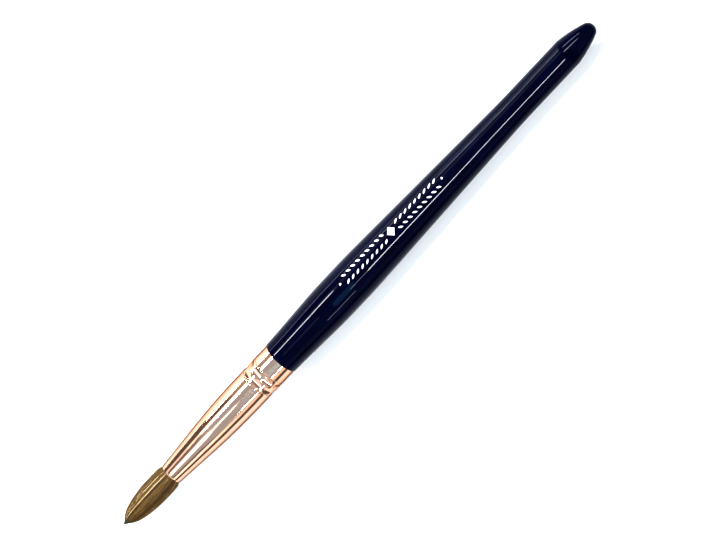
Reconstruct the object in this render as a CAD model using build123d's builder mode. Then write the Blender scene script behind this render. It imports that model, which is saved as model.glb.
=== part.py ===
from build123d import *
import math
import os

# A round hair brush for fine detail work, lying on a flat surface.
# The brush axis runs along X, with the point of the hair at -X and the butt at +X.
# Z is up, and the thickest part of the handle rests on z = 0.

# Lengths along the axis
tuft_length = 18.0  # hair that shows ahead of the ferrule
cone_length = 20.5  # drawn front part of the ferrule
barrel_length = 21.4  # straight rear part of the ferrule
handle_length = 118.1  # handle that shows behind the ferrule

# Handle outline, measured over the lacquer
shoulder_step = 0.20  # how far the shoulder stands out from the ferrule
swell_rise = 0.04  # from the shoulder to where the swell begins
belly_radius = 5.60  # thickest part, where the fingers hold it
tail_radius = 3.88
shoulder_run = 2.8  # nearly straight run behind the ferrule
swell_length = 15.75
belly_run = 11.7
tail_run = 21.05
nose_length = 9.5  # rounded end behind the crease
nose_tip_radius = 2.1
nose_slope = 19.0  # degrees, where the flank of the nose meets its tip
shoulder_blend = 2.4  # length of each rounded corner, to either side of it
swell_blend = 3.5
belly_blend = 3.0
tail_blend = 4.5
lacquer_thickness = 0.18

# Foil ornament stamped on the lacquer
stamp_start = 26.0  # from the shoulder to the first dot
stamp_length = 38.3
stamp_height = 2.8
stamp_angle = 18.0  # degrees round the handle, from the top towards +Y
stamp_thickness = 0.03
leaf_count = 9  # pairs of leaves on each side of the middle lozenge
leaf_length = 1.45
leaf_width = 0.50
leaf_slant = 32.0  # degrees
lozenge_length = 2.6
dot_radius = 0.27

# Ferrule, a seamless tube drawn to a cone at the mouth
mouth_radius = 2.98
barrel_radius = 4.66
cone_blend = 9.0
ferrule_wall = 0.30
lip_round = 0.12
crimp_setback = 4.6  # second ring line, from the shoulder
crimp_length = 4.5  # from the first ring line to the second
crimp_line_width = 0.5
crimp_line_depth = 0.12
crimp_dents = 8  # dents in each of the two rows
dent_depth = 0.25
dent_land = 0.10  # flat strip between the rows
dent_bead = 0.20  # how far the crimp pushes the bore inwards

# Tenon and its glue
tenon_length = 12.0
tenon_chamfer = 0.5
glue_gap = 0.08

# Hair bundle inside the ferrule
root_depth = 12.0  # hair behind the mouth
hair_clearance = 0.02
cement_start = 3.0  # from the mouth
cement_cover = 2.0  # cement behind the ends of the hair
thread_diameter = 0.25
thread_turns = 3
thread_start = 9.0  # from the mouth
thread_clearance = 0.02

# Free hair, and the ball and cup that stand in for its bending
belly_station = 7.2  # widest part of the tuft, ahead of the mouth
tuft_swell = 0.37  # how much wider than the mouth it is there
point_length = 2.3  # from the tip back to where the tuft is this wide
point_radius = 1.58
point_slope = 0.70  # slope of the outline at the very tip
crown_length = 5.1  # and to where it is this wide
crown_radius = 2.58
bend_swell = 0.26  # how much wider than the mouth it is at the bend
bend_reach = 3.2  # from the mouth to the centre of the bend
bend_limit = 35.0  # degrees to each side
bend_margin = 4.0  # degrees of room beyond the limit
ball_cover = 0.29  # hair outside the ball, at its widest
cup_gap = 0.15
belly_hair_length = 8.5  # from the centre of the bend
belly_hair_taper = 3.5  # length of their rounded end
outer_layer = 0.85  # depth of the long hairs over the belly hairs

# Stations and radii that follow
ferrule_length = cone_length + barrel_length
overall_length = tuft_length + ferrule_length + handle_length
tip_x = -overall_length / 2
mouth_x = tip_x + tuft_length
shoulder_x = mouth_x + ferrule_length
butt_x = shoulder_x + handle_length
crease_x = butt_x - nose_length
bend_x = mouth_x - bend_reach
tenon_x = shoulder_x - tenon_length
crimp_end_x = shoulder_x - crimp_setback
crimp_x = crimp_end_x - crimp_length
shoulder_radius = barrel_radius + shoulder_step
swell_radius = shoulder_radius + swell_rise
axis_height = max(belly_radius, swell_radius)
bore_radius = barrel_radius - ferrule_wall
tenon_radius = bore_radius - glue_gap
root_radius = mouth_radius - ferrule_wall - hair_clearance
tuft_radius = mouth_radius + tuft_swell
bend_hair_radius = mouth_radius + bend_swell
belly_hair_radius = tuft_radius - outer_layer

brush_axis = Axis((0, 0, axis_height), (1, 0, 0))
# Profiles are drawn below the axis, so that every seam is underneath.
profile_plane = Plane(origin=(0, 0, axis_height), x_dir=(1, 0, 0), z_dir=(0, 1, 0))

os.makedirs("parts", exist_ok=True)


def write_piece(piece, name):
    """Name a finished piece and write it out."""
    piece.part.label = name
    export_step(piece.part, f"parts/{name}.step")


def corner_radius(before, corner, after, blend):
    """Radius of the arc that rounds a corner and starts this far from it."""
    run_in = math.atan2(corner[1] - before[1], corner[0] - before[0])
    run_out = math.atan2(after[1] - corner[1], after[0] - corner[0])
    return blend / math.tan(abs(run_out - run_in) / 2)


def rounded_line(points, blends):
    """A line through these points, with its inner corners rounded."""
    radii = []
    for index, blend in enumerate(blends):
        radii.append(corner_radius(*points[index : index + 3], blend))
    return FilletPolyline(*points, radius=radii)


def handle_profile(depth):
    """Half of the handle's outline in the profile plane, this far under the lacquer."""
    swell_x = shoulder_x + shoulder_run
    belly_x = swell_x + swell_length
    front = (shoulder_x + depth, shoulder_radius - depth)
    points = [
        front,
        (swell_x, swell_radius - depth),
        (belly_x, belly_radius - depth),
        (belly_x + belly_run, belly_radius - depth),
        (crease_x - tail_run, tail_radius - depth),
        (crease_x, tail_radius - depth),
    ]
    slope = math.radians(nose_slope)
    tip_centre = (butt_x - nose_tip_radius, 0)
    tip_radius = nose_tip_radius - depth
    flank_end = (
        tip_centre[0] + tip_radius * math.sin(slope),
        tip_radius * math.cos(slope),
    )
    flank_direction = (-math.cos(slope), math.sin(slope))
    with BuildLine() as outline:
        Line((front[0], 0), front)
        rounded_line(points, [shoulder_blend, swell_blend, belly_blend, tail_blend])
        TangentArc(flank_end, points[-1], tangent=flank_direction)
        CenterArc(tip_centre, tip_radius, 0, 90 - nose_slope)
        Line((tip_centre[0] + tip_radius, 0), (front[0], 0))
    make_face(outline.edges())


def ferrule_line(depth):
    """Outline of the ferrule from mouth to shoulder, this far under its surface."""
    points = [
        (mouth_x, mouth_radius - depth),
        (mouth_x + cone_length, barrel_radius - depth),
        (shoulder_x, barrel_radius - depth),
    ]
    return rounded_line(points, [cone_blend])


def bore_profile():
    """Half of the space inside the ferrule, from its mouth to the handle's shoulder."""
    with BuildLine() as outline:
        bore_line = ferrule_line(ferrule_wall)
        Polyline(bore_line @ 1, (shoulder_x, 0), (mouth_x, 0), bore_line @ 0)
    make_face(outline.edges())


def ring_profile(start_x, end_x, inner_radius, outer_radius, mode=Mode.ADD):
    """A rectangle in the profile plane, which turns into a ring."""
    with Locations(((start_x + end_x) / 2, (inner_radius + outer_radius) / 2)):
        Rectangle(end_x - start_x, outer_radius - inner_radius, mode=mode)


def groove_profile(mode=Mode.ADD):
    """The tenon's groove behind the crimp, with room for glue all round it."""
    groove_start_x = crimp_x - glue_gap
    groove_end_x = crimp_end_x + glue_gap
    groove_radius = tenon_radius - dent_bead
    ring_profile(groove_start_x, groove_end_x, groove_radius, tenon_radius, mode)


# Wooden handle core. The tenon at its front end goes into the ferrule, and has a
# shallow groove that the crimp closes into.
with BuildPart() as handle_core:
    with BuildSketch(profile_plane):
        handle_profile(lacquer_thickness)
    revolve(axis=brush_axis)
    with BuildSketch(profile_plane):
        ring_profile(tenon_x, shoulder_x + 2 * lacquer_thickness, 0, tenon_radius)
        tenon_corner = vertices().group_by(Axis.X)[0].sort_by(Axis.Y)[-1]
        chamfer(tenon_corner, length=tenon_chamfer)
        groove_profile(Mode.SUBTRACT)
    revolve(axis=brush_axis)
write_piece(handle_core, "handle_core")

# Dipped lacquer skin over the whole handle, with a hole at the front for the tenon.
with BuildPart() as lacquer_coat:
    with BuildSketch(profile_plane):
        handle_profile(0)
    revolve(axis=brush_axis)
    with BuildSketch(profile_plane):
        handle_profile(lacquer_thickness)
    revolve(axis=brush_axis, mode=Mode.SUBTRACT)
    with BuildSketch(profile_plane):
        ring_profile(tenon_x, shoulder_x + 2 * lacquer_thickness, 0, tenon_radius)
    revolve(axis=brush_axis, mode=Mode.SUBTRACT)
write_piece(lacquer_coat, "lacquer_coat")

# Silver foil ornament: a spray of leaves on each side of a lozenge, with a dot at
# each end. It is a thin skin on the lacquer, cut to the outline of each mark.
stamp_tilt = math.radians(stamp_angle)
stamp_plane = Plane(
    origin=(shoulder_x + stamp_start + stamp_length / 2, 0, axis_height),
    x_dir=(1, 0, 0),
    z_dir=(0, math.sin(stamp_tilt), math.cos(stamp_tilt)),
)
leaf_pitch = (stamp_length / 2 - lozenge_length / 2 - 4 * dot_radius) / (leaf_count + 0.5)


def leaf_shape(centre, turn):
    """One leaf of the ornament, pointed at both ends."""
    along = Vector(leaf_length / 2, 0).rotate(Axis.Z, turn)
    across = Vector(0, leaf_width / 2).rotate(Axis.Z, turn)
    middle = Vector(*centre)
    with BuildLine() as outline:
        ThreePointArc(middle - along, middle + across, middle + along)
        ThreePointArc(middle + along, middle - across, middle - along)
    make_face(outline.edges())


with BuildPart() as foil_stamp:
    with BuildSketch(profile_plane):
        handle_profile(-stamp_thickness)
    revolve(axis=brush_axis)
    with BuildSketch(profile_plane):
        handle_profile(0)
    revolve(axis=brush_axis, mode=Mode.SUBTRACT)
    with BuildSketch(stamp_plane):
        leaf_offset = stamp_height / 2 - leaf_length / 2 * math.sin(math.radians(leaf_slant))
        for side in (-1, 1):
            for index in range(leaf_count):
                leaf_x = side * (lozenge_length / 2 + (index + 0.75) * leaf_pitch)
                leaf_shape((leaf_x, leaf_offset), side * leaf_slant)
                leaf_shape((leaf_x, -leaf_offset), -side * leaf_slant)
            with Locations((side * (stamp_length / 2 - dot_radius), 0)):
                Circle(dot_radius)
        with BuildLine():
            Polyline(
                (-lozenge_length / 2, 0),
                (0, stamp_height / 2),
                (lozenge_length / 2, 0),
                (0, -stamp_height / 2),
                close=True,
            )
        make_face()
    extrude(amount=2 * belly_radius, mode=Mode.INTERSECT)
write_piece(foil_stamp, "foil_stamp")

# Metal ferrule. It is crimped on the tenon with two ring lines and, between them,
# two rows of dents set half a step apart.
row_pitch = (crimp_length - crimp_line_width) / 2
dent_length = row_pitch - dent_land
dent_radius = (dent_length**2 / 4 + dent_depth**2) / (2 * dent_depth)

with BuildPart() as ferrule:
    with BuildSketch(profile_plane):
        with BuildLine():
            outer_line = ferrule_line(0)
            inner_line = ferrule_line(ferrule_wall)
            Line(outer_line @ 0, inner_line @ 0)
            Line(outer_line @ 1, inner_line @ 1)
        make_face()
        lip_corners = vertices().group_by(Axis.X)[0]
        fillet(lip_corners, radius=lip_round)
        ring_profile(crimp_x, crimp_end_x, bore_radius - dent_bead, barrel_radius)
    revolve(axis=brush_axis)
    with BuildSketch(profile_plane):
        for line_x in (crimp_x, crimp_end_x):
            with Locations((line_x, barrel_radius)):
                Ellipse(crimp_line_width / 2, crimp_line_depth)
    revolve(axis=brush_axis, mode=Mode.SUBTRACT)
    for row in range(2):
        row_x = crimp_x + crimp_line_width / 2 + (row + 0.5) * row_pitch
        row_plane = Plane(origin=(row_x, 0, axis_height), x_dir=(0, 1, 0), z_dir=(1, 0, 0))
        with Locations(row_plane):
            with PolarLocations(
                barrel_radius - dent_depth + dent_radius,
                crimp_dents,
                start_angle=row * 180 / crimp_dents,
            ):
                Cylinder(
                    dent_radius,
                    barrel_radius,
                    rotation=(90, 0, 0),
                    mode=Mode.SUBTRACT,
                )
write_piece(ferrule, "ferrule")

# Glue sleeve that fills the gap between the tenon and the ferrule.
with BuildPart() as tenon_glue:
    with BuildSketch(profile_plane):
        bore_profile()
        ring_profile(tenon_x + tenon_chamfer, shoulder_x, 0, barrel_radius, Mode.INTERSECT)
        ring_profile(tenon_x, shoulder_x, 0, tenon_radius, Mode.SUBTRACT)
        groove_profile()
        ring_profile(crimp_x, crimp_end_x, bore_radius - dent_bead, barrel_radius, Mode.SUBTRACT)
    revolve(axis=brush_axis)
write_piece(tenon_glue, "tenon_glue")

# Hair bundle held in the ferrule. Ahead of the mouth it ends in a ball, which the
# free hair turns on.
ball_radius = bend_hair_radius - ball_cover
neck_angle = 90 - bend_limit - bend_margin
root_end_x = mouth_x + root_depth

with BuildPart() as hair_roots:
    with BuildSketch(profile_plane):
        with BuildLine():
            ball_line = CenterArc((bend_x, 0), ball_radius, neck_angle, 180 - neck_angle)
            Polyline(
                ball_line @ 0,
                (mouth_x, root_radius),
                (root_end_x, root_radius),
                (root_end_x, 0),
                ball_line @ 1,
            )
        make_face()
    revolve(axis=brush_axis)
write_piece(hair_roots, "hair_roots")

# Thread that ties the bundle before it is pulled into the ferrule.
thread_pitch = thread_diameter + thread_clearance
thread_x = mouth_x + thread_start

with BuildPart() as binding_thread:
    with BuildLine() as thread_path:
        Helix(
            pitch=thread_pitch,
            height=thread_turns * thread_pitch,
            radius=root_radius + thread_clearance + thread_diameter / 2,
            center=(thread_x, 0, axis_height),
            direction=(1, 0, 0),
        )
    with BuildSketch(Plane(origin=thread_path.line @ 0, z_dir=thread_path.line % 0)):
        Circle(thread_diameter / 2)
    sweep(path=thread_path.line, is_frenet=True)
write_piece(binding_thread, "binding_thread")

# Cement plug that holds the roots in the cone of the ferrule.
pocket_start_x = thread_x - thread_diameter
pocket_end_x = thread_x + thread_turns * thread_pitch + thread_diameter
pocket_radius = root_radius + thread_diameter + 2 * thread_clearance

with BuildPart() as root_cement:
    with BuildSketch(profile_plane):
        bore_profile()
        ring_profile(
            mouth_x + cement_start,
            root_end_x + cement_cover,
            0,
            barrel_radius,
            Mode.INTERSECT,
        )
        ring_profile(mouth_x, root_end_x, 0, root_radius, Mode.SUBTRACT)
        ring_profile(pocket_start_x, pocket_end_x, 0, pocket_radius, Mode.SUBTRACT)
    revolve(axis=brush_axis)
write_piece(root_cement, "root_cement")

# The short hairs that fill the belly of the tuft.
cup_radius = ball_radius + cup_gap


def belly_profile(mode=Mode.ADD):
    """Half of the outline of the belly hairs, in the profile plane."""
    taper_x = bend_x - belly_hair_length + belly_hair_taper
    with BuildLine() as outline:
        EllipticalCenterArc(
            (taper_x, 0), belly_hair_taper, belly_hair_radius, start_angle=90, arc_size=90
        )
        back_edge = [(bend_x, 0), (bend_x, belly_hair_radius)]
        Polyline((bend_x - belly_hair_length, 0), *back_edge, (taper_x, belly_hair_radius))
    make_face(outline.edges(), mode=mode)


def cup_profile():
    """Take the round hollow for the ball out of the current sketch."""
    with Locations((bend_x, 0)):
        Circle(cup_radius, mode=Mode.SUBTRACT)


with BuildPart() as belly_hairs:
    with BuildSketch(profile_plane):
        belly_profile()
        cup_profile()
    revolve(axis=brush_axis)
write_piece(belly_hairs, "belly_hairs")

# The long outer hairs, which close over the belly and come together at the point.
widest = (mouth_x - belly_station, tuft_radius)

with BuildPart() as outer_hairs:
    with BuildSketch(profile_plane):
        with BuildLine():
            Spline(
                (tip_x, 0),
                (tip_x + point_length, point_radius),
                (tip_x + crown_length, crown_radius),
                widest,
                tangents=[(1, point_slope), (1, 0)],
            )
            TangentArc(widest, (bend_x, bend_hair_radius), tangent=(1, 0))
            Polyline((bend_x, bend_hair_radius), (bend_x, 0), (tip_x, 0))
        make_face()
        belly_profile(Mode.SUBTRACT)
        cup_profile()
    revolve(axis=brush_axis)
write_piece(outer_hairs, "outer_hairs")
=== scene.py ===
import math

import bpy
import numpy as np
from mathutils import Matrix, Vector


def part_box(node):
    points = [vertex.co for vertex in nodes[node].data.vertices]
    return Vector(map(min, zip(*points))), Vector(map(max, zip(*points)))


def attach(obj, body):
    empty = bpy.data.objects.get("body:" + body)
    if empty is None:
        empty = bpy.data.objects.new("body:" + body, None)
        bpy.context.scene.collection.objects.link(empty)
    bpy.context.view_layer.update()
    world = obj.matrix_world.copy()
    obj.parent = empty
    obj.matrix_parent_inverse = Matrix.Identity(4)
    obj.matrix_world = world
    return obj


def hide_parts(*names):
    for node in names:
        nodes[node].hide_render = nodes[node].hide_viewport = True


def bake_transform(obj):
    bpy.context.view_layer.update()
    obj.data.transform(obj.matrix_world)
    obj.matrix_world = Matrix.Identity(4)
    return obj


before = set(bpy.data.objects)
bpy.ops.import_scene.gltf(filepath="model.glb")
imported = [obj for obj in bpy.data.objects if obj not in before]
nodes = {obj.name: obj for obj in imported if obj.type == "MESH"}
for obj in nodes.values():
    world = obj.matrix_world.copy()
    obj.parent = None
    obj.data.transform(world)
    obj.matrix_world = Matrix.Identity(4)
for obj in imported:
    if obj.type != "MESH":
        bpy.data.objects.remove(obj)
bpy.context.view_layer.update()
MM = 0.001  # sizes are in millimetres, and become metres where a mesh is made


# ---- Handle core ----
# A beech stick turned on a lathe. Its front end is a plain tenon that goes up the
# ferrule, and the rest of it is hidden under the lacquer.
class Signal:
    """A shader socket with arithmetic, which adds Math nodes to its tree."""

    def __init__(self, tree, socket=None):
        self.tree = tree
        self.socket = socket

    def node(self, kind, settings=None, inputs=None, output=0):
        """Add any node: its settings first, then the values or links of its sockets."""
        made = self.tree.nodes.new("ShaderNode" + kind)
        for name, value in (settings or {}).items():
            if name == "stops":
                while len(made.color_ramp.elements) < len(value):
                    made.color_ramp.elements.new(1.0)
                for element, (position, colour) in zip(made.color_ramp.elements, value):
                    element.position = position
                    element.color = (*colour, 1.0)
            else:
                setattr(made, name, value)
        for name, value in (inputs or {}).items():
            if isinstance(value, Signal):
                self.tree.links.new(value.socket, made.inputs[name])
            else:
                made.inputs[name].default_value = value
        return Signal(self.tree, made.outputs[output])

    def maths(self, operation, *values):
        return self.node("Math", {"operation": operation}, dict(enumerate(values)))

    def __add__(self, other):
        return self.maths("ADD", self, other)

    __radd__ = __add__

    def __mul__(self, other):
        return self.maths("MULTIPLY", self, other)

    __rmul__ = __mul__

    def __sub__(self, other):
        return self.maths("SUBTRACT", self, other)

    def __rsub__(self, other):
        return self.maths("SUBTRACT", other, self)

    def between(self, low, high):
        """0 below low, 1 above high, and smooth between them."""
        settings = {"interpolation_type": "SMOOTHSTEP"}
        return self.node("MapRange", settings, {0: self, 1: low, 2: high})

    def mixed(self, low, high):
        """The colour low where this is 0, and high where it is 1."""
        pair = [c if isinstance(c, Signal) else (*c, 1.0) for c in (low, high)]
        inputs = {0: self, 6: pair[0], 7: pair[1]}
        return self.node("Mix", {"data_type": "RGBA"}, inputs, output=2)

    def noise(self, scale, stretch=(1, 1, 1), detail=2.0, rough=0.5):
        """Noise over the object, with scale in features a metre on each axis."""
        place = self.node("TexCoord", output="Object")
        sized = self.node("Mapping", None, {"Vector": place, "Scale": stretch})
        inputs = {"Vector": sized, "Scale": scale, "Detail": detail, "Roughness": rough}
        return self.node("TexNoise", {"normalize": True}, inputs)

    def attribute(self, name):
        return self.node("Attribute", {"attribute_name": name}, output="Fac")


def finish(name, fixed, varying):
    """A Principled material. varying gives each changing socket from a Signal."""
    material = bpy.data.materials.new(name)
    material.use_nodes = True
    shader = material.node_tree.nodes["Principled BSDF"]
    for socket, value in fixed.items():
        shader.inputs[socket].default_value = value
    start = Signal(material.node_tree)
    for socket, signal in varying(start).items():
        material.node_tree.links.new(signal.socket, shader.inputs[socket])
    return material


def dress(node, material):
    """Give a CAD node its material."""
    mesh = nodes[node].data
    mesh.materials.clear()
    mesh.materials.append(material)


def beech(start):
    grain = start.noise(1.0, stretch=(90, 2600, 2600), detail=5.0, rough=0.6)
    fleck = start.noise(1.0, stretch=(700, 5200, 5200), detail=2.0)
    tone = grain.between(0.3, 0.7) * 0.75 + fleck.between(0.58, 0.7) * 0.25
    bump = {"Strength": 0.25, "Distance": 0.00006, "Height": tone}
    return {
        "Base Color": tone.mixed((0.56, 0.36, 0.19), (0.78, 0.60, 0.38)),
        "Roughness": grain * 0.2 + 0.5,
        "Normal": start.node("Bump", None, bump),
    }


dress("handle_core", finish("turned_beech", {"Specular IOR Level": 0.35}, beech))


# ---- Lacquer coat ----
# Several dips of near-black navy lacquer make one glossy skin over the handle. It
# ends in a soft edge round the tenon, and sags very slightly as all dipped coats do.
# Distances along the handle are from its shoulder, or from the crease of its nose.
lacquer_low, lacquer_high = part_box("lacquer_coat")
shoulder_x = lacquer_low.x / MM
butt_x = lacquer_high.x / MM
axis_z = (lacquer_low.z + lacquer_high.z) / 2 / MM
lacquer_depth = 0.18
tenon_radius = 4.28
shoulder_radius = 4.86
edge_radius = 0.28
swell_start = 2.8
swell_start_radius = 4.90
belly_start = 18.55
belly_end = 30.25
belly_radius = (lacquer_high.y - lacquer_low.y) / 2 / MM
tail_run = 21.05
tail_radius = 3.88
handle_blends = [2.4, 3.5, 3.0, 4.5]
nose_length = 9.5
nose_tip_radius = 2.1
nose_slope = 19
nose_flank_count = 40
crease_x = butt_x - nose_length
lacquer_segments = 160
outer_step = 0.9
inner_step = 3.0


def eased(points, blends, step):
    """Stations (x, radius) along a line whose inner corners are eased this far each way."""
    xs = np.linspace(points[0][0], points[-1][0], round((points[-1][0] - points[0][0]) / step))
    rs = np.interp(xs, *zip(*points))
    for before, corner, after, blend in zip(points, points[1:], points[2:], blends):
        slope_in = (corner[1] - before[1]) / (corner[0] - before[0])
        slope_out = (after[1] - corner[1]) / (after[0] - corner[0])
        reach = np.clip(blend - abs(xs - corner[0]), 0, None)
        rs += (slope_out - slope_in) * reach**2 / (4 * blend)
    return list(zip(xs, rs))


def arc(centre, radius, start, stop, count):
    """Stations on an arc, with its angles in degrees from +X."""
    turns = np.radians(np.linspace(start, stop, count))
    return [(centre[0] + radius * math.cos(t), centre[1] + radius * math.sin(t)) for t in turns]


def nose_stations(depth):
    """The rounded end: a long flank arc from the crease, then the tip."""
    slope = math.radians(nose_slope)
    tip_centre = butt_x - nose_tip_radius
    tip_radius = nose_tip_radius - depth
    flank_end = tip_radius * math.cos(slope)
    run = tip_centre + tip_radius * math.sin(slope) - crease_x
    drop = tail_radius - depth - flank_end
    # The flank leaves the tip at its own slope and bends steadily towards the crease.
    bend = (math.tan(slope) * run - drop) / run**2
    xs = np.linspace(0, run, nose_flank_count)[1:-1]
    back = run - xs
    flank = list(zip(crease_x + xs, flank_end + math.tan(slope) * back - bend * back**2))
    return flank + arc((tip_centre, 0), tip_radius, 90 - nose_slope, 0, 24)[:-1]


def handle_stations(depth, step):
    """The handle's outline from shoulder to nose, this deep under its surface."""
    body = [
        (shoulder_x + depth, shoulder_radius - depth),
        (shoulder_x + swell_start, swell_start_radius - depth),
        (shoulder_x + belly_start, belly_radius - depth),
        (shoulder_x + belly_end, belly_radius - depth),
        (crease_x - tail_run, tail_radius - depth),
        (crease_x, tail_radius - depth),
    ]
    return eased(body, handle_blends, step) + nose_stations(depth)


def ring(x, radius, segments):
    """One ring of points round the brush axis, starting at the top."""
    if radius < 1e-6:
        return np.array([(x, 0.0, axis_z)]) * MM
    turns = np.arange(segments) * 2 * math.pi / segments
    points = np.zeros((segments, 3))
    points[:, 0] = x
    points[:, 1] = radius * np.sin(turns)
    points[:, 2] = axis_z + radius * np.cos(turns)
    return points * MM


def skinned(name, rings, closed=False, sharp=30):
    """A mesh over a row of rings. A ring of one point is a pole."""
    starts = np.cumsum([0] + [len(r) for r in rings])
    faces = []
    pairs = list(zip(range(len(rings)), range(1, len(rings))))
    if closed:
        pairs.append((len(rings) - 1, 0))
    for a, b in pairs:
        count = max(len(rings[a]), len(rings[b]))
        for i in range(count):
            j = (i + 1) % count
            if len(rings[a]) == 1:
                faces.append((starts[a], starts[b] + j, starts[b] + i))
            elif len(rings[b]) == 1:
                faces.append((starts[a] + i, starts[a] + j, starts[b]))
            else:
                faces.append((starts[a] + i, starts[a] + j, starts[b] + j, starts[b] + i))
    mesh = bpy.data.meshes.new(name)
    mesh.from_pydata(np.concatenate(rings).tolist(), [], [tuple(map(int, f)) for f in faces])
    mesh.update()
    mesh.shade_smooth()
    mesh.set_sharp_from_angle(angle=math.radians(sharp))
    piece = bpy.data.objects.new(name, mesh)
    bpy.context.scene.collection.objects.link(piece)
    return piece


inside = [(butt_x - lacquer_depth, 0)] + handle_stations(lacquer_depth, inner_step)[::-1]
end_face = [(shoulder_x + lacquer_depth, tenon_radius), (shoulder_x, tenon_radius)]
edge_centre = (shoulder_x + edge_radius, shoulder_radius - edge_radius)
soft_edge = arc(edge_centre, edge_radius, 180, 95, 7)
outside = handle_stations(0, outer_step)[1:] + [(butt_x, 0)]
stations = inside + end_face + soft_edge + outside
rings = [ring(x, r, lacquer_segments) for x, r in stations]
lacquer = skinned("lacquer_skin", rings, sharp=25)


def navy_lacquer(start):
    sag = start.noise(1.0, stretch=(55, 190, 190), detail=1.0)
    pores = start.noise(1.0, stretch=(420, 1500, 1500), detail=2.0)
    haze = start.noise(1.0, stretch=(160, 700, 700), detail=4.0, rough=0.6)
    height = sag + pores * 0.05
    bump = {"Strength": 0.08, "Distance": 0.0004, "Height": height}
    return {
        "Base Color": haze.between(0.35, 0.75).mixed((0.0002, 0.0005, 0.0130), (0.0004, 0.0030, 0.0250)),
        "Roughness": haze.between(0.45, 0.8) * 0.04 + 0.02,
        "Normal": start.node("Bump", None, bump),
    }


lacquer_looks = {"IOR": 1.40, "Specular IOR Level": 0.12}
lacquer.data.materials.append(finish("navy_lacquer", lacquer_looks, navy_lacquer))
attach(lacquer, "handle")
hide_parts("lacquer_coat")


# ---- Foil stamp ----
# Silver-white foil pressed on the lacquer with a hot die. The foil is a film that
# breaks up a little where the die pressed less.
def stamped_foil(start):
    press = start.noise(1.0, stretch=(1800, 2600, 2600), detail=4.0, rough=0.7)
    patch = start.noise(1.0, stretch=(260, 500, 500), detail=2.0)
    sound = 1 - press.between(0.52, 0.74) * patch.between(0.35, 0.75)
    bump = {"Strength": 0.3, "Distance": 0.00003, "Height": press}
    return {
        "Base Color": sound.mixed((0.50, 0.51, 0.56), (0.86, 0.86, 0.88)),
        "Roughness": press * 0.3 + 0.3,
        "Normal": start.node("Bump", None, bump),
    }


dress("foil_stamp", finish("stamped_foil", {"Metallic": 0.35}, stamped_foil))


# ---- Tenon glue ----
# A thin film of amber wood glue. It is brushed on the tenon before the ferrule goes
# over it, fills the gap between them, and takes the shape of the crimp as it sets.
def amber_glue(start):
    flow = start.noise(1.0, stretch=(300, 900, 900), detail=3.0)
    bump = {"Strength": 0.3, "Distance": 0.0001, "Height": flow}
    return {
        "Base Color": flow.between(0.3, 0.7).mixed((0.58, 0.38, 0.14), (0.80, 0.62, 0.32)),
        "Roughness": flow * 0.25 + 0.25,
        "Normal": start.node("Bump", None, bump),
    }


dress("tenon_glue", finish("amber_glue", {"Coat Weight": 0.2}, amber_glue))


# ---- Ferrule ----
# A seamless brass tube drawn to a cone at the mouth and plated rose gold. A roller
# crimps it on the tenon with two ring lines and two rows of dents half a step apart.
ferrule_low, ferrule_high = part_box("ferrule")
mouth_x = ferrule_low.x / MM
barrel_radius = (ferrule_high.y - ferrule_low.y) / 2 / MM
mouth_radius = 2.98
ferrule_wall = 0.30
cone_length = 20.5
cone_blend = 9.0
cone_step = 0.6
bore_step = 1.5
crimp_start = 32.8
crimp_length = 4.5
line_half_width = 0.26
line_depth = 0.12
row_count = 2
dent_count = 8
dent_depth = 0.25
dent_half_length = 0.95
dent_softness = 0.045
crimp_margin = 0.4
crimp_stations = 116
ferrule_segments = 320


def crimped(x, turns):
    """Radius of the barrel at station x, in all these directions round it."""
    along = x - mouth_x - crimp_start
    radius = np.full(len(turns), barrel_radius)
    for line in (0, crimp_length):
        off = abs(along - line) / line_half_width
        if off < 1:
            radius -= line_depth * (0.5 + 0.5 * math.cos(math.pi * off)) ** 0.8
    pitch = (crimp_length - 2 * line_half_width) / row_count
    dent_radius = (dent_half_length**2 + dent_depth**2) / (2 * dent_depth)
    for row in range(row_count):
        centre = line_half_width + (row + 0.5) * pitch
        off = abs(along - centre)
        if off > dent_half_length * 1.15:
            continue
        # A round bar laid across the tube presses a flat-bottomed, rounded dent.
        bar = barrel_radius - dent_depth + dent_radius
        bar -= math.sqrt(max(dent_radius**2 - off**2, 0))
        spread = 2 * math.pi / dent_count
        turn = (turns - row * spread / 2 + spread / 2) % spread - spread / 2
        pressed = bar / np.cos(turn)
        gap = np.clip(dent_softness - abs(pressed - radius), 0, None)
        radius = np.minimum(radius, pressed) - gap**2 / (4 * dent_softness)
    return radius


cone = [(mouth_x, mouth_radius), (mouth_x + cone_length, barrel_radius), (shoulder_x, barrel_radius)]
crimp_from = mouth_x + crimp_start - crimp_margin
crimp_to = mouth_x + crimp_start + crimp_length + crimp_margin
plain = [s for s in eased(cone, [cone_blend], cone_step) if not crimp_from < s[0] < crimp_to]
fine = [(x, barrel_radius) for x in np.linspace(crimp_from, crimp_to, crimp_stations)]
lip = ferrule_wall / 2
round_lip = arc((mouth_x + lip, mouth_radius - lip), lip, 265, 95, 11)
bore = [(x, r - ferrule_wall) for x, r in eased(cone, [cone_blend], bore_step)][1:]
turns = np.arange(ferrule_segments) * 2 * math.pi / ferrule_segments
rings = []
for x, r in round_lip + sorted(plain + fine)[1:]:
    points = ring(x, r, ferrule_segments)
    if crimp_from <= x <= crimp_to:
        radius = crimped(x, turns)
        points[:, 1] = radius * np.sin(turns) * MM
        points[:, 2] = (axis_z + radius * np.cos(turns)) * MM
    rings.append(points)
rings += [ring(x, r, ferrule_segments) for x, r in bore[::-1]]
ferrule = skinned("plated_ferrule", rings, closed=True, sharp=40)


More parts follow.
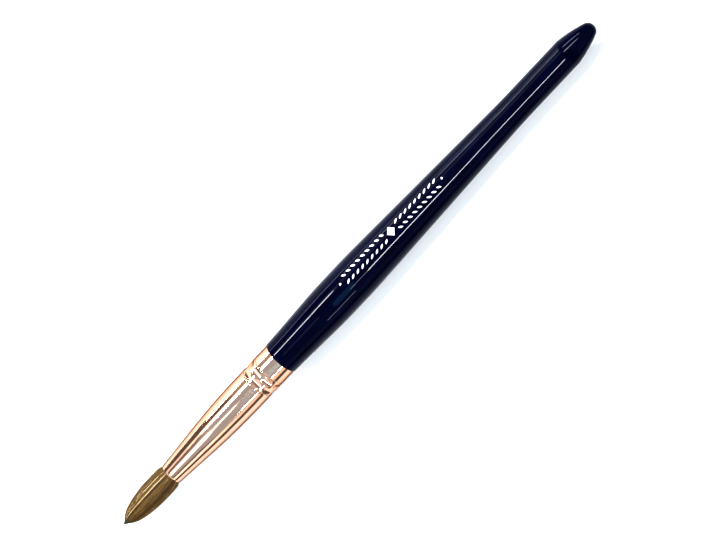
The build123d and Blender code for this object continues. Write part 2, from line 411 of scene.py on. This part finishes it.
def rose_gold(start):
    drawn = start.noise(1.0, stretch=(60, 5200, 5200), detail=3.0, rough=0.6)
    wipe = start.noise(1.0, stretch=(220, 900, 900), detail=4.0, rough=0.6)
    ripple = start.noise(1.0, stretch=(70, 300, 300), detail=1.0)
    height = drawn * 0.05 + ripple * 0.8
    bump = {"Strength": 0.12, "Distance": 0.0003, "Height": height}
    return {
        "Base Color": wipe.between(0.3, 0.8).mixed((0.74, 0.49, 0.37), (0.66, 0.42, 0.30)),
        "Roughness": wipe.between(0.45, 0.85) * 0.10 + 0.07,
        "Normal": start.node("Bump", None, bump),
    }


# The near-black Specular Tint darkens the plate's reflections towards its edges: painted shade at the
# ferrule's edges, standing in for the shadowed table that they reflect.
plating_with_painted_edge_shade = {"Metallic": 1.0, "Specular Tint": (0.08, 0.03, 0.015, 1.0)}
ferrule.data.materials.append(finish("rose_gold_plate_with_painted_edge_shade", plating_with_painted_edge_shade, rose_gold))
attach(ferrule, "handle")
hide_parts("ferrule")


# ---- Root cement and binding thread ----
# The tied bundle is pulled into the cone, and resin cement poured in from behind
# sets round the roots and the thread.
def resin_cement(start):
    cloud = start.noise(1.0, stretch=(500, 500, 500), detail=4.0)
    bump = {"Strength": 0.3, "Distance": 0.0001, "Height": cloud}
    return {
        "Base Color": cloud.between(0.3, 0.7).mixed((0.36, 0.22, 0.09), (0.60, 0.42, 0.20)),
        "Roughness": cloud * 0.3 + 0.3,
        "Normal": start.node("Bump", None, bump),
    }


def waxed_thread(start):
    ply = start.node("TexWave", {"bands_direction": "DIAGONAL"}, {"Scale": 3000.0, "Distortion": 1.0})
    bump = {"Strength": 0.6, "Distance": 0.00005, "Height": ply}
    return {
        "Base Color": ply.mixed((0.55, 0.50, 0.38), (0.84, 0.80, 0.68)),
        "Roughness": ply * 0.2 + 0.6,
        "Normal": start.node("Bump", None, bump),
    }


dress("root_cement", finish("resin_cement", {"Coat Weight": 0.1}, resin_cement))
dress("binding_thread", finish("waxed_thread", {"Sheen Weight": 0.2}, waxed_thread))


# ---- Hair ----
# Natural hair tied in a bundle, belly outwards. The short hairs fill the middle, and
# the long ones lie over them and close into the point. All of them spring from the
# ferrule, so the strands run from inside its mouth to the tip.
tip_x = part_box("outer_hairs")[0].x / MM
tuft_length = mouth_x - tip_x
root_inside = 1.6
clump_count = 58
clump_pull = 0.55
clump_fade = (2.0, 11.0)
drift_angle = 0.08
drift_pace = (0.15, 0.3)
lift_share = 0.006
lift_pace = 0.45
mouth_fade = 1.4
mouth_share = 0.94
width_spread = (0.7, 1.25)
thinnest_hair = 0.012
# A few strands are made much lighter: partly paler hairs, partly painted highlights for hairs that catch
# the light.
pale_and_glint_hair_share = 0.07
pale_and_glint_hair_tone = 0.55
hair_seed = 12
# Distance behind the tip, and the radius of the tuft there.
tuft_outline = [
    (0, 0), (0.5, 0.40), (0.95, 0.80), (1.95, 1.57), (3.0, 2.08), (4.0, 2.40), (5.1, 2.67),
    (6.1, 2.88), (7.2, 3.03), (8.2, 3.16), (9.3, 3.26), (10.4, 3.34), (12.4, 3.38), (14.4, 3.38),
    (15.5, 3.35), (16.5, 3.29), (17.3, 3.19), (17.8, 2.98), (18.1, 2.70), (19.6, 2.62),
]


def tuft_radius(s):
    """Outside radius of the tuft, this far behind its tip."""
    return np.interp(s, *zip(*tuft_outline))


def smooth_step(low, high, values):
    """0 below low, 1 above high, and smooth between them."""
    t = np.clip((values - low) / (high - low), 0, 1)
    return t * t * (3 - 2 * t)


def tapered_tube(s, radius, angle, thick):
    """Four points round a hair at each of its stations."""
    level = np.zeros(len(s))
    middle = np.stack([s + tip_x, radius * np.sin(angle), radius * np.cos(angle)], 1)
    outwards = np.stack([level, np.sin(angle), np.cos(angle)], 1)
    sideways = np.stack([level, np.cos(angle), -np.sin(angle)], 1)
    corners = np.arange(4) * math.pi / 2
    tube = (
        middle[:, None]
        + thick[:, None, None] * np.cos(corners)[None, :, None] * outwards[:, None]
        + thick[:, None, None] * np.sin(corners)[None, :, None] * sideways[:, None]
    )
    tube[:, :, 2] += axis_z
    return tube.reshape(-1, 3)


def tube_faces(start, segments):
    """The faces of a hair whose points begin at start, with both of its ends closed."""
    faces = []
    for low in range(start, start + (segments - 1) * 4, 4):
        for corner in range(4):
            after = (corner + 1) % 4
            faces.append((low + corner, low + 4 + corner, low + 4 + after, low + after))
    last = start + (segments - 1) * 4
    faces.append((start, start + 1, start + 2, start + 3))
    faces.append((last + 3, last + 2, last + 1, last))
    return faces


def strands(name, count, share, width, reach, segments, seed):
    """Hairs in one mesh, each a tapered tube of four sides. share is how near the
    outside they lie, and reach how far behind the tip they may end."""
    rng = np.random.default_rng(seed)
    clump_turn = np.sort(rng.uniform(0, 2 * math.pi, clump_count))
    clump_tone = rng.uniform(0, 1, clump_count)
    points = []
    faces = []
    tones = []
    ends = []
    for index in range(count):
        turn = (index + rng.uniform(0, 1)) * 2 * math.pi / count
        pulls = (clump_turn - turn + math.pi) % (2 * math.pi) - math.pi
        near = int(np.argmin(abs(pulls)))
        depth = rng.uniform(*share)
        stop = reach[0] + (reach[1] - reach[0]) * rng.uniform(0, 1) ** 2.2
        s = stop + (tuft_length + root_inside - stop) * np.linspace(0, 1, segments) ** 0.85
        # Hairs drift a little sideways, and gather into clumps towards the tip.
        drift = rng.normal(0, drift_angle)
        wave = rng.uniform(0, 6.28)
        bend = drift * np.sin(s * rng.uniform(*drift_pace) + wave)
        gather = pulls[near] * clump_pull * (1 - smooth_step(*clump_fade, s))
        angle = turn + bend + gather
        # They rise and dip a little too, and stay inside the mouth of the ferrule.
        lift = 1 + rng.normal(0, lift_share) * np.sin(s * lift_pace + wave)
        inside = smooth_step(tuft_length - mouth_fade, tuft_length, s)
        height = depth * lift * (1 - inside) + min(depth, mouth_share) * inside
        radius = tuft_radius(s) * height
        thick = width * rng.uniform(*width_spread) * smooth_step(-1.0, 7.0, s - stop + 0.6)
        thick = np.maximum(thick, thinnest_hair)
        radius = np.clip(radius - thick, 0, None)
        faces += tube_faces(index * segments * 4, segments)
        points.append(tapered_tube(s, radius, angle, thick))
        tone = 0.45 * clump_tone[near] + 0.40 * rng.uniform(0, 1)
        # Lightening these few strands makes paler hairs and also paints highlights on them.
        if rng.uniform(0, 1) < pale_and_glint_hair_share:
            tone += pale_and_glint_hair_tone
        tones.append(np.full(segments * 4, tone))
        ends.append(np.repeat(s / tuft_length, 4))
    mesh = bpy.data.meshes.new(name)
    mesh.from_pydata((np.concatenate(points) * MM).tolist(), [], faces)
    mesh.update()
    mesh.shade_smooth()
    for label, values in (("tone", np.concatenate(tones)), ("along", np.concatenate(ends))):
        layer = mesh.attributes.new(label, "FLOAT", "POINT")
        layer.data.foreach_set("value", values.astype(np.float32))
    piece = bpy.data.objects.new(name, mesh)
    bpy.context.scene.collection.objects.link(piece)
    return piece


def natural_hair(start):
    tone = start.attribute("tone")
    along = start.attribute("along")
    streak = start.noise(1.0, stretch=(110, 5200, 5200), detail=3.0, rough=0.65)
    mixed = tone * 0.72 + streak.between(0.3, 0.72) * 0.28
    stops = [
        (0.0, (0.018, 0.009, 0.003)),
        (0.30, (0.068, 0.035, 0.009)),
        (0.60, (0.170, 0.098, 0.026)),
        (0.80, (0.290, 0.195, 0.075)),
        # The top of the ramp, near white gold, is reached mostly by the lightened strands: partly pale
        # hair, partly painted highlight.
        (1.0, (0.950, 0.780, 0.520)),
    ]
    shaft = mixed.node("ValToRGB", {"stops": stops}, {"Fac": mixed})
    tip = along.between(0.0, 0.16)
    return {
        "Base Color": tip.mixed((0.030, 0.024, 0.020), shaft),
        "Roughness": streak * 0.2 + 0.34,
    }


def under_hair(start):
    streak = start.noise(1.0, stretch=(110, 5200, 5200), detail=4.0, rough=0.65)
    bump = {"Strength": 0.7, "Distance": 0.0001, "Height": streak}
    return {
        "Base Color": streak.between(0.3, 0.7).mixed((0.045, 0.022, 0.008), (0.16, 0.085, 0.028)),
        "Roughness": streak * 0.2 + 0.5,
        "Normal": start.node("Bump", None, bump),
    }


mass_share = 0.86
mass_inset = 0.06
mass_segments = 96
mass_front = 0.5
mass_stations = np.concatenate([np.linspace(0.8, 18.0, 56), np.linspace(18.4, 19.6, 4)])
mass_outline = [(s, tuft_radius(s) * mass_share - mass_inset) for s in mass_stations]
mass_outline = [(mass_front, 0)] + mass_outline + [(mass_stations[-1], 0)]
rings = [ring(tip_x + s, r, mass_segments) for s, r in mass_outline]
hair_mass = skinned("belly_hair_mass", rings)
hair_gloss = {"Specular IOR Level": 0.3}
hair_mass.data.materials.append(finish("under_hair", hair_gloss, under_hair))

long_hairs = strands("long_hairs", 760, (0.95, 1.0), 0.062, (-0.3, 1.3), 25, hair_seed)
short_hairs = strands("short_hairs", 300, (0.88, 0.95), 0.085, (0.8, 4.5), 22, hair_seed + 1)
hair = finish("natural_hair", hair_gloss, natural_hair)
long_hairs.data.materials.append(hair)
short_hairs.data.materials.append(hair)
for piece in (hair_mass, long_hairs, short_hairs):
    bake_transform(piece)
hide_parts("hair_roots", "belly_hairs")
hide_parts("outer_hairs")


# ---- Studio ----
# A white table, soft panels and narrow tubes of light along the brush, and a long
# lens looking down on it from the butt end.
aim = Vector((0, 0, axis_z * MM))
camera_rise = math.radians(71.7)
brush_slant = math.radians(46.76)
camera_distance = 4.0
view_width = 0.1778
sensor_width = 36
floor_half = 3.0
back = Vector((math.cos(camera_rise), 0, math.sin(camera_rise)))
along_view = Vector((math.sin(camera_rise), 0, -math.cos(camera_rise)))
across_view = back.cross(along_view)
right = math.cos(brush_slant) * along_view - math.sin(brush_slant) * across_view
up = math.sin(brush_slant) * along_view + math.cos(brush_slant) * across_view
camera_data = bpy.data.cameras.new("camera")
camera_data.sensor_width = sensor_width
camera_data.lens = sensor_width * camera_distance / view_width
camera_data.clip_end = 50
camera = bpy.data.objects.new("camera", camera_data)
bpy.context.scene.collection.objects.link(camera)
centre_offset = right * 0.00067 + up * 0.0015 + across_view * 0.00004
turned = Matrix((right, up, back)).transposed().to_4x4()
camera.matrix_world = Matrix.Translation(aim + centre_offset + back * camera_distance) @ turned
bpy.context.scene.camera = camera


def panel(name, azimuth, spread, span, radiance, colour=(1.0, 1.0, 1.0), distance=0.8):
    """A strip of light that runs along the brush over this span of X, in metres.
    azimuth is its angle round the brush from the top towards -Y, and spread the
    angle that it fills, both in degrees."""
    turn = math.radians(azimuth)
    away = Vector((0, -math.sin(turn), math.cos(turn)))
    width = 2 * distance * math.tan(math.radians(spread) / 2)
    length = span[1] - span[0]
    data = bpy.data.lights.new(name, "AREA")
    data.shape = "RECTANGLE"
    data.size = length
    data.size_y = width
    data.color = colour
    data.energy = radiance * math.pi * width * length
    light = bpy.data.objects.new(name, data)
    facing = Matrix((Vector((1, 0, 0)), away.cross(Vector((1, 0, 0))), away)).transposed()
    middle = aim + away * distance + Vector(((span[0] + span[1]) / 2, 0, 0))
    light.matrix_world = Matrix.Translation(middle) @ facing.to_4x4()
    light.visible_camera = False
    bpy.context.scene.collection.objects.link(light)


panel("ceiling", 6, 90, (-0.62, -0.06), 0.52, (0.57, 0.78, 1.0), 0.9)
panel("sky", 14, 120, (0.12, 2.5), 0.50, (0.95, 0.98, 1.0))
panel("front_card", 5, 120, (-3.0, -0.64), 0.8)
panel("window", -43, 14, (-0.45, -0.08), 3.0)
panel("window_low", -84, 12, (-0.487, -0.08), 1.4, distance=1.0)
panel("left_wall", -64, 24, (-0.487, -0.08), 0.28, (1.0, 0.95, 0.92), 1.2)
panel("warm_wall", 61, 20, (-0.60, -0.08), 0.85, (1.0, 0.93, 0.86))
panel("cone_light", 0, 24, (-0.60, -0.455), 2.2)
panel("cone_light_end", 0, 9, (-0.455, -0.345), 2.4)
panel("teal_glow", 14, 26, (-0.284, -0.25), 4.0, (0.15, 0.70, 1.0))
panel("tube_front", -39, 4.6, (-0.40, -0.27), 92)
panel("tube_rear", -64, 2.6, (-0.25, -0.10), 55)
panel("tube_low", -79, 2.6, (-0.40, -0.10), 20)
panel("tube_right", 45, 2.0, (-0.33, -0.26), 36)
panel("tube_top", 19, 4.6, (-0.207, -0.14), 100)
panel("tube_top_faint", 19, 2.8, (-0.262, -0.207), 30)
panel("tube_end_left", -58, 2.6, (0.05, 0.25), 75)
panel("tube_end_top", -24, 2.8, (0.05, 0.25), 80)

world = bpy.data.worlds.new("room")
world.use_nodes = True
world.node_tree.nodes["Background"].inputs["Color"].default_value = (0.17, 0.165, 0.16, 1)
bpy.context.scene.world = world

floor_mesh = bpy.data.meshes.new("table")
corners = [(x * floor_half, y * floor_half, 0) for x, y in ((-1, -1), (1, -1), (1, 1), (-1, 1))]
floor_mesh.from_pydata(corners, [], [(0, 1, 2, 3)])
floor = bpy.data.objects.new("table", floor_mesh)
bpy.context.scene.collection.objects.link(floor)


def white_table(start):
    tooth = start.noise(900.0, detail=2.0)
    return {
        "Base Color": tooth.mixed((0.86, 0.88, 0.90), (0.90, 0.91, 0.92)),
        "Roughness": tooth * 0.1 + 0.6,
    }


table_looks = {"Emission Color": (0.9, 0.96, 1.0, 1), "Emission Strength": 0.04}
floor_mesh.materials.append(finish("white_table", table_looks, white_table))
bpy.context.scene.view_settings.view_transform = "Standard"
bpy.context.scene.view_settings.look = "High Contrast"
